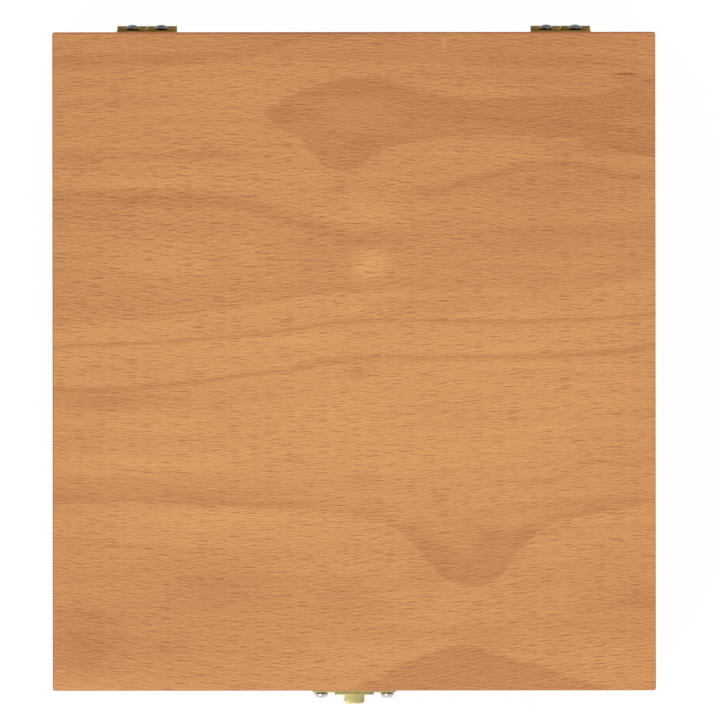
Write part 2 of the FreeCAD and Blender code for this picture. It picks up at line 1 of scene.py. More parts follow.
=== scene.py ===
# %% [markdown]
# # A watercolour box in beech
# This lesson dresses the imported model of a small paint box: a beech case with a lid, a drawer, a
# rack of half pans and a palette. The model already gives each piece its size and place. The
# lesson softens the edges, makes the finer shapes, and gives each piece its finish. Lengths are
# in metres unless they are said to be in mm, and colours are in linear light.

# %% Load the frame
import json
import math
import bmesh
import bpy
from mathutils import Matrix, Vector


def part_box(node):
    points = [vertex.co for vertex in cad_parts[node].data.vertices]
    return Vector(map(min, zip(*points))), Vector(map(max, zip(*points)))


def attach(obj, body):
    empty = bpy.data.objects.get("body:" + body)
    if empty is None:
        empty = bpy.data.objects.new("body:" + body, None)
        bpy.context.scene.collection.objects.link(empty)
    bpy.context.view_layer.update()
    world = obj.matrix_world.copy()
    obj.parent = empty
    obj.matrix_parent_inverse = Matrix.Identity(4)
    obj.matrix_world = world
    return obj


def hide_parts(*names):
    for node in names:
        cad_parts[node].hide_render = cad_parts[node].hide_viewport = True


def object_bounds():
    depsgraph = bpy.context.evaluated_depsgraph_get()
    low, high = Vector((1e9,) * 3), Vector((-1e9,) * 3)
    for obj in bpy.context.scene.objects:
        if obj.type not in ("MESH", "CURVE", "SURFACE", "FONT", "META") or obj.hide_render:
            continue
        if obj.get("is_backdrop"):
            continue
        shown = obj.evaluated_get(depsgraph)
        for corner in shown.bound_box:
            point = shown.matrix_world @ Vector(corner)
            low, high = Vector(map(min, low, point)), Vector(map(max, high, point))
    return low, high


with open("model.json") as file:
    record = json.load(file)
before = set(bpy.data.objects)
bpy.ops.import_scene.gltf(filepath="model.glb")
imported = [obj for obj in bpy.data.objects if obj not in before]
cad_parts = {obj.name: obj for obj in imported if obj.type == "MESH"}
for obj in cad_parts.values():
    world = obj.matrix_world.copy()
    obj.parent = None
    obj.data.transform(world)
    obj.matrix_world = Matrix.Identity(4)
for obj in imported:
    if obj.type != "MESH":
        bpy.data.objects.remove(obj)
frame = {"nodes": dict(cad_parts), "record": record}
nodes = frame["nodes"]
body_of_node = {name: body for body, members in frame["record"]["behaviour"]["bodies"].items()
                for name in members}
cad_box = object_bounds()
MM = 0.001
print("the box measures", [round((high - low) / MM, 1) for low, high in zip(*cad_box)], "mm")

# %% [markdown]
# ## The camera
# The box lies flat and is looked at from straight above. A near camera would show the sides lean
# in towards the floor, and a camera without perspective would look like a drawing. So the camera
# stands 4 m up with a long lens. It is turned by a few hundredths of a degree, as on a stand that
# is set by hand.

# %% Camera
CAMERA_HEIGHT, FAR_END = 4.0, 50
LENS_MM, SENSOR_MM = 472.8, 36
CAMERA_TURN = (0.008, -0.036, -0.055)
camera = bpy.data.objects.new("camera", bpy.data.cameras.new("camera"))
bpy.context.scene.collection.objects.link(camera)
camera.location = (0, 0, CAMERA_HEIGHT)
camera.rotation_euler = [math.radians(angle) for angle in CAMERA_TURN]
camera.data.sensor_width = SENSOR_MM
camera.data.lens = LENS_MM
camera.data.clip_end = FAR_END
bpy.context.scene.camera = camera
seen_wide = SENSOR_MM / LENS_MM * CAMERA_HEIGHT / MM
print("the camera sees a square", round(seen_wide), "mm wide on the floor")

# %% [markdown]
# ## Shader maths
# A finish is mostly sums and products of masks. They could be wired up node by node, which is
# long and hard to read. A small class lets a mask be written as ordinary maths instead: a Wire is
# one output of a node, and adding or multiplying two wires makes the node that does it.

# %% Shader maths
def set_stops(ramp, colours):
    """A ramp of flat colours, each with an equal share."""
    ramp.interpolation = "CONSTANT"
    ramp.elements[0].color = colours[0]
    ramp.elements[1].position = 1 / len(colours)
    ramp.elements[1].color = colours[1]
    for order, colour in enumerate(colours[2:], 2):
        ramp.elements.new(order / len(colours)).color = colour


def set_points(mapping, points):
    """A curve through points from 0 to 1 each way."""
    handles = mapping.curves[0].points
    handles[0].location = points[0]
    handles[1].location = points[-1]
    for point in points[1:-1]:
        handles.new(*point)
    mapping.update()


class Wire:
    """One output in a material's nodes, which takes +, -, *, / and any other node."""

    def __init__(self, tree, socket):
        self.tree = tree
        self.socket = socket

    def node(self, kind, settings, sockets, output=0):
        """A new node: its settings are set first, then the values or wires of its sockets.

        A ramp's "stops" and a curve's "points" are settings too."""
        made = self.tree.nodes.new("ShaderNode" + kind)
        for name, value in settings.items():
            if name == "stops":
                set_stops(made.color_ramp, value)
            elif name == "points":
                set_points(made.mapping, value)
            else:
                setattr(made, name, value)
        for name, value in sockets.items():
            if isinstance(value, Wire):
                self.tree.links.new(value.socket, made.inputs[name])
            else:
                made.inputs[name].default_value = value
        return Wire(self.tree, made.outputs[output])

    def beside(self, output):
        """Another output of the same node."""
        return Wire(self.tree, self.socket.node.outputs[output])

    def maths(self, operation, *values):
        return self.node("Math", {"operation": operation}, dict(enumerate(values)))

    def __add__(self, other):
        return self.maths("ADD", self, other)

    def __radd__(self, other):
        return self.maths("ADD", other, self)

    def __sub__(self, other):
        return self.maths("SUBTRACT", self, other)

    def __rsub__(self, other):
        return self.maths("SUBTRACT", other, self)

    def __mul__(self, other):
        return self.maths("MULTIPLY", self, other)

    def __rmul__(self, other):
        return self.maths("MULTIPLY", other, self)

    def __truediv__(self, other):
        return self.maths("DIVIDE", self, other)

    def __rtruediv__(self, other):
        return self.maths("DIVIDE", other, self)

    def __abs__(self):
        return self.maths("ABSOLUTE", self)

    def soft(self, start, end, most=1.0):
        """0 where the value is at start, most where it is at end, and smooth between."""
        return self.node("MapRange", {"interpolation_type": "SMOOTHSTEP"},
                         {"Value": self, "From Min": start, "From Max": end, "To Max": most})

    def noise(self, scale=1.0, detail=1.0, rough=0.5, seed=0.0):
        """Noise from 0 to 1 at this place, with seed to tell one noise from the next."""
        return self.node("TexNoise", {"noise_dimensions": "4D"},
                         {"Vector": self, "W": seed, "Scale": scale, "Detail": detail,
                          "Roughness": rough})

    def stretched(self, x, y, z):
        """This place with each direction drawn out or pressed together by a factor."""
        return self.node("VectorMath", {"operation": "MULTIPLY"}, {0: self, 1: (x, y, z)})

    def plus(self, move):
        """This place moved by three numbers or by another place."""
        return self.node("VectorMath", {"operation": "ADD"}, {0: self, 1: move})

    def length(self):
        return self.node("VectorMath", {"operation": "LENGTH"}, {0: self}, "Value")

    def split(self):
        """The three numbers of this place."""
        return [self.node("SeparateXYZ", {}, {0: self}, axis) for axis in range(3)]

    def blend(self, first, second, clamp=True):
        """first where this is 0 and second where it is 1. Without clamp it also goes past them."""
        return self.node("Mix", {"data_type": "RGBA", "clamp_factor": clamp},
                         {0: self, 6: first, 7: second}, 2)

    def bump(self, strength, distance):
        """The surface's normal, tipped by this height."""
        return self.node("Bump", {}, {"Strength": strength, "Distance": distance, "Height": self})


# %% Materials
def srgb(red, green, blue):
    """A colour as a screen names it, 0 to 255, in linear light."""
    levels = [level / 255 for level in (red, green, blue)]
    return tuple(level / 12.92 if level < 0.04045 else ((level + 0.055) / 1.055) ** 2.4
                 for level in levels) + (1.0,)


def new_material(name, **fixed):
    """A material, the place on its piece as a wire, and its shader. fixed sets plain sockets."""
    material = bpy.data.materials.new(name)
    material.use_nodes = True
    tree = material.node_tree
    shader = tree.nodes["Principled BSDF"]
    for socket, value in fixed.items():
        shader.inputs[socket.replace("_", " ")].default_value = value
    coordinates = tree.nodes.new("ShaderNodeTexCoord")
    return material, Wire(tree, coordinates.outputs["Object"]), shader


def feed(node, **wires):
    """Joins wires to a node's sockets."""
    for socket, wire in wires.items():
        wire.tree.links.new(wire.socket, node.inputs[socket.replace("_", " ")])


print("the middle grey of a screen, 128, is", round(srgb(128, 128, 128)[0], 2), "in linear light")

# %% [markdown]
# ## The floor and the light
# A studio has a white table and large soft lamps. The world gives an even white light. A wide
# lamp at the front left lights the metal and the near sides, and a weaker one at the back right
# opens the shadows. More light could turn the table white, but it would bleach the box too. So
# the table's material glows white to the camera and in reflections instead, and a tenth of it
# stays paper, which still takes the shadow of the box.

# %% Floor
FLOOR_HALF = 4.0
FLOOR_DROP = 0.0002     # keeps the floor clear of the box's underside
GLOW_STRENGTH, GLOW_SHARE = 1.03, 0.9


def new_object(name, data):
    thing = bpy.data.objects.new(name, data)
    bpy.context.scene.collection.objects.link(thing)
    return thing


def white_to_the_camera(shade):
    """A shader mixed with plain white light, for the camera and for reflections."""
    camera_ray = shade.node("LightPath", {}, {}, "Is Camera Ray")
    mirrored = shade.maths("MAXIMUM", camera_ray.beside("Is Glossy Ray"),
                           camera_ray.beside("Is Transmission Ray"))
    share = shade.maths("MAXIMUM", camera_ray, mirrored) * GLOW_SHARE
    glow = shade.node("Emission", {}, {"Strength": GLOW_STRENGTH})
    return shade.node("MixShader", {}, {0: share, 1: shade, 2: glow})


paper, place, shader = new_material("floor_paper", Base_Color=(0.9, 0.9, 0.9, 1), Roughness=0.9)
white = white_to_the_camera(Wire(place.tree, shader.outputs[0]))
feed(place.tree.nodes["Material Output"], Surface=white)
table = bpy.data.meshes.new("floor")
table.from_pydata([(x * FLOOR_HALF, y * FLOOR_HALF, -FLOOR_DROP)
                   for x, y in ((-1, -1), (1, -1), (1, 1), (-1, 1))], [], [(0, 1, 2, 3)])
floor = new_object("floor", table)
floor.data.materials.append(paper)
floor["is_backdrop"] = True
print("the floor is", 2 * FLOOR_HALF, "m wide")

# %% Light
WORLD_STRENGTH = 0.8
LAMPS = {"key_lamp": ((-0.9, -1.2, 1.8), 1.0, 14), "fill_lamp": ((1.2, 0.8, 1.8), 0.8, 7)}


def area_lamp(name, place, size, watts):
    """A round lamp that looks at the middle of the floor."""
    lamp = bpy.data.lights.new(name, "AREA")
    lamp.shape = "DISK"
    lamp.size = size
    lamp.energy = watts
    thing = new_object(name, lamp)
    thing.location = place
    thing.rotation_euler = (-Vector(place)).to_track_quat("-Z", "Y").to_euler()


for name, (place, size, watts) in LAMPS.items():
    area_lamp(name, place, size, watts)
    print(name, "is", size, "m wide and gives", watts, "W")
world = bpy.data.worlds.new("studio")
bpy.context.scene.world = world
world.use_nodes = True
world.node_tree.nodes["Background"].inputs["Color"].default_value = (1, 1, 1, 1)
world.node_tree.nodes["Background"].inputs["Strength"].default_value = WORLD_STRENGTH
bpy.context.scene.view_settings.view_transform = "Standard"

# %% [markdown]
# ## Beech
# Beech is pinkish tan, with faint growth bands, fine lines along the grain, and short dark
# flecks, which are its rays cut across. A board's end is darker, with tiny pores in place of
# flecks, and it shows at each finger of the corner joints. Pictures of wood could be laid on the
# boards, but they would repeat, and stop at every edge. Noise that is drawn out along the grain
# fills each board right through, so a band that runs off the top goes on down the side.

# %% Colours of beech
PALE_BEECH = srgb(221, 160, 94)
DEEP_BEECH = srgb(179, 117, 66)
FLECK_BROWN = srgb(138, 74, 38)
END_BEECH = srgb(174, 112, 67)
PLY_LAYERS = 5
print("pale beech is", [round(level, 2) for level in PALE_BEECH[:3]], "in linear light")

# %% Flecks
FLECK_PITCH, SHORT_FLECK_PITCH = (0.0072, 0.0015), (0.0046, 0.0012)     # along, across
FLECK_THINNESS = (1.9, 7.5, 1.1)
FLECK_STRENGTH = 0.64
LONGEST_FLECK = 2 * FLECK_PITCH[0] / FLECK_THINNESS[0]


def fleck_field(place, pitch, seed):
    """Short dashes along x, loosely scattered: 1 in the middle of one and 0 off it."""
    long_pitch, wide_pitch = pitch
    cells = place.stretched(1 / long_pitch, 1 / wide_pitch, 1 / wide_pitch)
    cells = cells.plus((seed, seed, seed))
    chance = cells.node("TexVoronoi", {}, {"Vector": cells, "Scale": 1.0}, "Color")
    away = cells.plus(chance.beside("Position").stretched(-1, -1, -1)).stretched(*FLECK_THINNESS)
    return (away.length() + chance.split()[0] * 0.6).soft(1.05, 0.6)


print("a fleck is at most", round(LONGEST_FLECK / MM, 1), "mm long")

# %% Growth bands and fine lines
MIDDLE_TONE = 0.53      # from 0, pale, to 1, deep
BAND_STRENGTH, FIGURED_BAND_STRENGTH, STREAK_STRENGTH = 0.63, 0.2, 0.3
LINE_STRENGTH, LINE_LOSS_ON_EDGES = 0.9, 0.55
LINE_GAP = 0.0006       # from the middle of a fine line to its paler sides


def grain_first(place, grain):
    """This place with the grain as x and the board's width as y. grain names both, as in "XZ"."""
    ways = dict(zip("XYZ", place.split()))
    order = [ways.pop(letter) for letter in grain] + list(ways.values())
    return place.node("CombineXYZ", {}, dict(enumerate(order)))


def leaning_grain(along):
    """The grain wanders across the board a little, in long sways and short ones."""
    sway = along.stretched(5, 9, 9).noise(detail=0.0, seed=2.9)
    wander = along.stretched(30, 90, 90).noise(seed=2.2)
    return along.plus(along.node("CombineXYZ", {}, {1: sway * 0.03 + wander * 0.002}))


def growth_tone(place, band_strength, line_strength):
    """Soft growth bands, long streaks and fine lines along x, round the middle tone.

    A fine line is a noise less the same noise a little to each side, so only thin lines stay."""
    bands = place.stretched(7, 60, 60).noise(detail=2.0, seed=1.3)
    streaks = place.stretched(16, 330, 330).noise(seed=3.6)
    shifted = [place.plus((0, step, 0)) for step in (-LINE_GAP, 0, LINE_GAP)]
    low, here, high = [spot.stretched(290, 1700, 1700).noise(rough=0.6, seed=5.1)
                       for spot in shifted]
    lines = (here - (low + high) / 2) * line_strength
    return (MIDDLE_TONE + (bands - 0.5) * band_strength + (streaks - 0.5) * STREAK_STRENGTH
            + lines)


print("a fine line is paler", round(LINE_GAP / MM, 1), "mm to each side of its middle")

# %% The beech material
def ply_edged(colour, place, face_facing, pores, plies):
    """That colour on the faces of a plywood sheet, and its layers on the edges."""
    low, high = plies
    layer = (place.split()[2] - low) / ((high - low) / PLY_LAYERS)
    dark_layer = layer.maths("PINGPONG", layer, 1.0).soft(0.42, 0.58)
    layers = (dark_layer * 0.6 + pores * 0.3).blend(PALE_BEECH, FLECK_BROWN)
    # partly painted shade: the rounded edges go darker towards the end grain's colour, for the cut
    # veneer and for shade on the rounding
    corner = face_facing.soft(0.99, 0.7, 0.4)
    return face_facing.soft(0.6, 0.3).blend(corner.blend(colour, END_BEECH), layers)


def beech(name, grain, figure=None, plies=None):
    """Lacquered beech. grain names the ways its length and its width run, such as "XZ".

    figure adds to the growth bands, and plies is the low and high z of a plywood sheet."""
    material, place, shader = new_material(name, Coat_Weight=0.1, Coat_Roughness=0.3,
                                           Specular_IOR_Level=0.35)
    along = grain_first(place, grain)
    facing = grain_first(place.beside("Normal"), grain)
    end_facing, edge_facing, face_facing = [abs(way) for way in facing.split()]
    leaning = leaning_grain(along)
    tone = growth_tone(leaning, FIGURED_BAND_STRENGTH if figure else BAND_STRENGTH,
                       LINE_STRENGTH - edge_facing * LINE_LOSS_ON_EDGES)
    if figure:
        tone = figure(place, tone)
    fleck = leaning.maths("MAXIMUM", fleck_field(leaning, FLECK_PITCH, 3.0),
                          fleck_field(leaning, SHORT_FLECK_PITCH, 8.0) * 0.75)
    wood = tone.blend(PALE_BEECH, DEEP_BEECH, False)
    wood = (fleck * FLECK_STRENGTH).blend(wood, FLECK_BROWN)
    pores = place.noise(2600, rough=0.6, seed=4.0).soft(0.45, 0.7)
    end_wood = (pores * 0.5 + tone * 0.4).blend(END_BEECH, FLECK_BROWN)
    end = end_facing.soft(0.6, 0.85)
    colour = end.blend(wood, end_wood)
    if plies:
        colour = ply_edged(colour, place, face_facing, pores, plies)
    relief = along.stretched(90, 1400, 1400).noise(detail=0.0, seed=6.0)
    feed(shader, Base_Color=colour, Roughness=0.45 + fleck * 0.12 + end * 0.15,
         Normal=relief.bump(0.2, 0.0001))
    return material


grain_x = beech("beech_along_x", "XZ")
grain_y = beech("beech_along_y", "YZ")
print("the beech of the long boards has", len(grain_x.node_tree.nodes), "nodes")

# %% [markdown]
# ## The figure on the lid
# The lid's veneer is one wide sheet cut flat through the log, so its growth rings show as a
# flame, long lines and a V. Noise alone never draws such a figure. So each ring's edge is a line
# drawn across the lid, in millimetres from its middle, and a curve node holds it. The
# wood between two lines is filled darker, single lines are stroked, and soft patches finish it.
# Two narrow patches are painted shade: dark lines along the lid's back edge and its left edge.

# %% Lines of the figure
LID_WIDE, LID_DEEP = 250.0, 273.0
RINGS = {
    "top_band": [(-124.6, 122.3), (-100.7, 122.7), (-75.9, 123.3), (-53.1, 125.4), (-36.5, 128.7),
        (-11.7, 133.2), (17.3, 136.3)],
    "flame_top": [(-124.6, 101), (-65.5, 101), (-38.6, 103), (-34.5, 105.9), (-24.1, 111.7),
        (-11.7, 116.2), (0.7, 117.9), (15.2, 117.1), (29.7, 112.5), (48.4, 109.2), (79.5, 110.2),
        (100.2, 111.3), (112.6, 114.6), (124, 117.1)],
    "flame_low": [(-124.6, 106), (-65.5, 106), (-38.6, 102.6), (-32.4, 96.8), (-22, 91.4),
        (-15.8, 84), (-12.5, 80), (-7.5, 78), (-0.9, 79), (4.9, 82), (13.2, 87), (29.7, 91),
        (48.4, 92.6), (79.5, 92.4), (96, 90.1), (110.5, 86.4), (124, 83.9)],
    "broad_top": [(-124.6, 67.8), (-80, 68.4), (-59.3, 67.8), (-44.8, 64.9), (-28.3, 60.7),
        (-11.7, 55.5), (-1.3, 50.8), (9, 51.8), (27.7, 53.7), (58.7, 56.2), (89.8, 58.6),
        (124, 61.1)],
    "broad_low": [(-124.6, 16.8), (-102.8, 17.4), (-75.9, 19.5), (-49, 23.4), (-30.3, 26.3),
        (-11.7, 29), (4.9, 30.3), (29.7, 29.2), (58.7, 28.4), (91.9, 28.8), (110.5, 32.1),
        (124, 36.3)],
    "right_line": [(7, 68), (21.5, 69), (38, 71.5), (54.6, 76), (71.2, 80.2), (91.9, 81),
        (106.4, 77.3), (124, 75.2)],
    "second_line": [(-124.6, 6), (-102.8, 6.8), (-75.9, 8.5), (-44.8, 10.8), (-24.1, 13.1),
        (-11.7, 15.3), (4.9, 16.8), (17.3, 17.2), (58.7, 16.6), (100.2, 17.6), (124, 19.3)],
    "third_line": [(-124.6, -11.6), (-96.6, -10.8), (-75.9, -9.3), (-44.8, -6), (-24.1, -2.5),
        (-11.7, 0.2), (4.9, 1.5), (17.3, 1.7), (58.7, 1.7), (100.2, 3.1), (124, 6)],
    "low_top": [(-124.6, -46), (-65.5, -47.7), (-44.8, -50.8), (-28.3, -53.3), (-11.7, -56.2),
        (4.9, -57.4), (17.3, -58.2), (27.7, -62), (38, -69.8), (44.2, -72.7), (52.5, -69.8),
        (62.9, -66.7), (73.2, -62), (85.7, -57.4), (100.2, -54.5), (124, -52.8)],
    "low_edge": [(-124.6, -59.5), (-75.9, -59.9), (-34.5, -62), (-3.4, -64), (15.2, -69),
        (25.6, -78.1), (34.9, -87.9), (44.2, -93), (53.6, -93.2), (61.8, -87.7), (70.1, -77.7),
        (77.4, -70.2), (89.8, -65.7), (104.3, -62.8), (124, -59.1)],
    "thin_right": [(54.6, -58.4), (65, -53.7), (79.5, -50.1), (91.9, -45), (100.2, -41.2),
        (110.5, -42.5), (124, -41.2)],
    "arch": [(-11.7, -139.2), (0.7, -134.1), (13.2, -129.1), (23.5, -123.7), (31.8, -119.8),
        (40.1, -117.9), (52.5, -119.6), (65, -122.7), (77.4, -125.5), (89.8, -129.5),
        (104.3, -134.8)],
}
# lower line, upper line (None is the lid's edge), how far each fades, and how much darker
FILLS = [("top_band", None, 1.5, 18, 0.22), ("flame_low", "flame_top", 1.4, 1.4, 0.24),
         ("broad_low", "broad_top", 2, 2.6, 0.15), ("low_edge", "low_top", 1.2, 10, 0.26),
         (None, "arch", 1, 1.4, 0.26), ("second_line", "broad_low", 1, 3, -0.07),
         ("third_line", "second_line", 1, 1.2, -0.05)]
# line, half its width, how much darker, and where along the lid it fades in
STROKES = [("right_line", 3.4, 0.21, 10, 45), ("broad_low", 1.6, 0.14, 60, -20),
           ("second_line", 1.6, 0.26, 0, 0), ("third_line", 2.4, 0.26, 0, 0),
           ("thin_right", 1.8, 0.14, 50, 90), ("broad_top", 5.5, 0.24, 60, 0),
           ("top_band", 2.2, 0.1, 0, -40)]
print("the figure has", len(RINGS), "lines")

# %% Patches of the figure
# across, up, half as wide, half as high, and how much darker (or paler, below 0)
PATCHES = [(0, 140, 190, 30, 0.21), (95, 122, 70, 26, 0.16), (20, -22, 130, 42, -0.16),
           (-70, -104, 100, 42, 0.14), (95, 70, 60, 18, 0.14), (105, -105, 60, 30, 0.09),
           (4, 102, 24, 9.5, -0.13), (116.7, 100.1, 14, 7, -0.12), (116, 117, 14, 4, 0.22),
           (100, 88, 40, 6, 0.14), (-6, 71, 9, 12, 0.09), (4, 91, 12, 5, 0.1),
           (-30, 103, 12, 9, 0.11), (-58.3, 86.2, 17, 3.2, 0.14), (-76, 85.5, 62, 3.6, 0.12),
           (-113.2, 84.5, 15, 6, 0.14), (7.5, 40.5, 12, 10, -0.33), (3.5, 37, 6, 8, -0.1),
           (-0.3, 21.3, 10, 3.8, -0.16), (1.8, -4.6, 8.5, 4.6, 0.29),
           (-25.1, -39.2, 4.5, 2.8, 0.16), (2.8, -47.7, 12, 3.8, 0.18), (38, -46, 5.5, 2.5, 0.15),
           (34.9, -57, 6, 4, 0.2), (-115.2, -76, 17, 9, 0.13), (-113.2, -109.2, 26, 15, 0.16),
           (-59.3, -94.7, 38, 12, 0.13), (-5.5, -96.8, 12, 14, 0.13), (118.8, -97.8, 16, 10, 0.11),
           (-80, 40, 34, 12, -0.12), (-44.8, 46, 9, 12, -0.13), (88, 42, 34, 9, -0.08),
           (-15.8, 41, 14, 12, 0.06), (-104, -17, 30, 7, 0.19), (-2, 67, 12, 6, -0.06),
           (52, -71, 22, 7, 0.18), (72, -6, 40, 5, 0.08), (0, 100, 260, 60, 0.14),
           (-112, 100, 45, 45, 0.03), (80, 130, 90, 18, 0.06), (60, 62, 70, 14, 0.08),
           (100, 98, 55, 12, 0.12), (-60, 40, 70, 22, -0.03), (-50, -68, 70, 14, -0.14),
           (-80, -42, 60, 9, -0.12), (18, -66, 14, 7, -0.12), (5, -108, 34, 10, 0.06),
           (52, -114, 24, 9, 0.1), (-115, -122, 24, 14, 0.16), (84, -100, 16, 10, -0.1),
           (104, -122, 24, 10, -0.08), (40, -20, 50, 12, 0.1), (-50, 130, 48, 8, -0.2),
           (75, 74, 55, 7, 0.08), (-90, -55, 50, 7, -0.1), (30, -88, 9, 16, 0.1),
           (-80, -15, 70, 8, 0.1), (60, 24, 90, 6, 0.1), (-20, 86, 60, 26, -0.06),
           (-65, 75, 65, 9, -0.12), (-45, 112, 50, 16, -0.1), (-100, 130, 38, 8, -0.14),
           (-104, 62, 30, 6, 0.08), (-100, -121, 38, 11, 0.1), (9, 61, 15, 6, -0.11),
           (-18, 9, 18, 5, -0.13), (9, -100, 13, 8, 0.09), (-80, -26, 36, 10, -0.08),
           (52, -120, 20, 7, 0.09), (90, 50, 50, 12, 0.06), (36, 85, 14, 7, -0.07),
           (-9, 105, 10, 8, -0.05), (-72, -120, 14, 7, 0.06), (36, 20, 14, 5, 0.05),
           # the first two patches on the next line are painted shade: dark lines along the back
           # edge and the left edge
           (0, 137.4, 900, 2, 2), (-125.8, 0, 1.7, 900, 1), (112, 119, 7, 0.8, 0.75),
           (37.4, 131.5, 1.3, 4.5, -0.28)]
print("the figure has", len(PATCHES), "soft patches")


# %% The figure
RING_WOBBLE, RING_FEATHER = 2.5, 6.0    # mm that noise moves a line
SIDE_FADE = (100.0, 126.0, 0.03)        # where the sides get darker, and how much


def ring_height(across, points):
    """The height in mm of a given line at this place across the lid."""
    spots = [(x / LID_WIDE + 0.5, y / LID_DEEP + 0.5) for x, y in points]
    line = across.node("FloatCurve", {"points": spots}, {"Value": across / LID_WIDE + 0.5})
    return (line - 0.5) * LID_DEEP


def filled(y, low, high, fade_low, fade_high, darker):
    """The wood between two lines, or from one line to the lid's edge."""
    if low is None:
        return (high - y).soft(0.0, fade_high, darker)
    above = y - low
    below = above.soft(fade_high, 0.0) if high is None else (high - y).soft(0.0, fade_high)
    return above.soft(0.0, fade_low, darker) * below


def lid_figure(place, tone):
    """The growth tone of the lid with its rings drawn in, and painted shade along two edges."""
    in_mm = place.stretched(1 / MM, 1 / MM, 0)
    x, y, _ = in_mm.split()
    feather = place.stretched(70, 800, 0).noise(rough=0.6, seed=7.0)
    wobble = place.stretched(26, 60, 0).noise(seed=9.0)
    calm = y + (wobble - 0.5) * RING_WOBBLE
    ragged = calm + (feather - 0.5) * RING_FEATHER
    lines = {name: ring_height(x, points) for name, points in RINGS.items()}
    total = tone + abs(x).soft(*SIDE_FADE)
    for low, high, fade_low, fade_high, darker in FILLS:
        total = total + filled(ragged, lines.get(low), lines.get(high), fade_low, fade_high,
                               darker)
    for line, half, darker, start, end in STROKES:
        mark = abs(calm - lines[line]).soft(half, 0.0, darker)
        total = total + (mark if start == end else mark * x.soft(start, end))
    for across, up, wide, high, darker in PATCHES:
        gap = in_mm.plus((-across, -up, 0)).stretched(1 / wide, 1 / high, 0)
        total = total + gap.length().soft(1.0, 0.1, darker)
    return total


lid_low, lid_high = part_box("lid_top_panel")
lid_veneer = beech("beech_lid_veneer", "XY", lid_figure, (lid_low.z, lid_high.z))
print("the lid's veneer has", len(lid_veneer.node_tree.nodes), "nodes")

# %% [markdown]
# ## Metal, plastic and paint
# The hinges and the latch are stamped from thin brass plate and have tarnished a little. The
# screws are one steel in two copies: a dark one on the hinges is painted shade, and a bright
# one on the latch is painted light. Pans and palette are moulded in white plastic, and each cake
# of paint is a dry block of its own pigment. One plain colour each would look flat. So each stuff
# has one function that adds its own marks: dull patches and brush lines on metal, faint flow
# marks in plastic, and grain and dust on paint.

# %% Metal and plastic
def metal(name, clean, dull, roughness):
    """Metal that is finely brushed, and dull in patches."""
    material, place, shader = new_material(name, Metallic=1.0)
    patches = place.noise(420, detail=3.0, rough=0.6, seed=2.0).soft(0.35, 0.75)
    brushed = place.stretched(3000, 300, 3000).noise(seed=3.0)
    feed(shader, Base_Color=(patches * 0.3 + brushed * 0.25).blend(clean, dull),
         Roughness=roughness + patches * 0.18, Normal=brushed.bump(0.15, 0.00005))
    return material


def plastic(name, white, shade, roughness):
    """Moulded white plastic with a faint flow pattern."""
    material, place, shader = new_material(name, Subsurface_Weight=0.1, Subsurface_Scale=0.001,
                                           Coat_Weight=0.2, Coat_Roughness=0.08)
    flow = place.noise(60, detail=3.0, seed=1.0).soft(0.3, 0.7)
    fine = place.noise(1500, seed=5.0)
    feed(shader, Base_Color=flow.blend(white, shade), Roughness=roughness + fine * 0.12,
         Normal=fine.bump(0.08, 0.00005))
    return material


hinge_brass = metal("hinge_brass", srgb(142, 112, 54), srgb(48, 35, 16), 0.28)
latch_brass = metal("latch_brass", srgb(206, 192, 132), srgb(122, 108, 56), 0.34)
# painted shade: the hinge pins get a dark steel so that the gaps between the knuckles look dark
pin_steel = metal("pin_steel", srgb(120, 112, 92), srgb(50, 46, 38), 0.35)
# painted light and painted shade: one steel, a bright copy for the latch's screws and a dark copy
# for the hinges' screws
bright_steel = metal("bright_steel", srgb(232, 232, 230), srgb(110, 110, 108), 0.12)
tarnished_steel = metal("tarnished_steel", srgb(118, 118, 115), srgb(18, 18, 18), 0.12)
pan_white = plastic("pan_plastic", srgb(240, 240, 236), srgb(230, 230, 224), 0.32)
palette_white = plastic("palette_plastic", srgb(244, 244, 241), srgb(236, 236, 232), 0.18)
print("the latch's brass has", len(latch_brass.node_tree.nodes), "nodes")

# %% Paint
GRAIN_DARK, DUST_PALE = (0.02, 0.02, 0.02, 1), (0.9, 0.9, 0.88, 1)
PIGMENTS = {
    "yellow": [(250, 226, 70), (246, 200, 34), (240, 168, 24), (233, 134, 30)],
    "red": [(212, 70, 36), (196, 38, 36), (176, 26, 44), (150, 24, 48)],
    "violet": [(150, 40, 96), (116, 44, 112), (82, 44, 118), (60, 40, 110)],
    "blue": [(30, 58, 150), (22, 76, 160), (24, 110, 172), (40, 52, 96)],
    "green": [(24, 112, 96), (30, 110, 62), (66, 122, 40), (104, 128, 44)],
    "earth": [(190, 136, 66), (158, 88, 48), (112, 62, 40), (62, 46, 38)],
}


def paint(name, pigments):
    """Pressed watercolour, grainy and a little dusty. A cake's shade number picks its pigment."""
    material, place, shader = new_material(name, Specular_IOR_Level=0.3)
    shade = place.node("Attribute", {"attribute_name": "shade"}, {}, "Fac")
    pigment = shade.node("ValToRGB", {"stops": pigments}, {0: shade})
    grain = place.noise(1100, detail=3.0, rough=0.6, seed=2.0)
    dust = place.noise(160, detail=2.0, rough=0.6, seed=6.0).soft(0.5, 0.8)
    colour = (grain.soft(0.3, 0.8) * 0.25).blend(pigment, GRAIN_DARK)
    colour = (dust * 0.12).blend(colour, DUST_PALE)
    feed(shader, Base_Color=colour, Roughness=0.55 + dust * 0.2, Normal=grain.bump(0.35, 0.0002))
    return material


paints = {word: paint(word + "_paint", [srgb(*pigment) for pigment in pigments])
          for word, pigments in PIGMENTS.items()}
print("there are", sum(map(len, PIGMENTS.values())), "pigments in", len(PIGMENTS), "families")

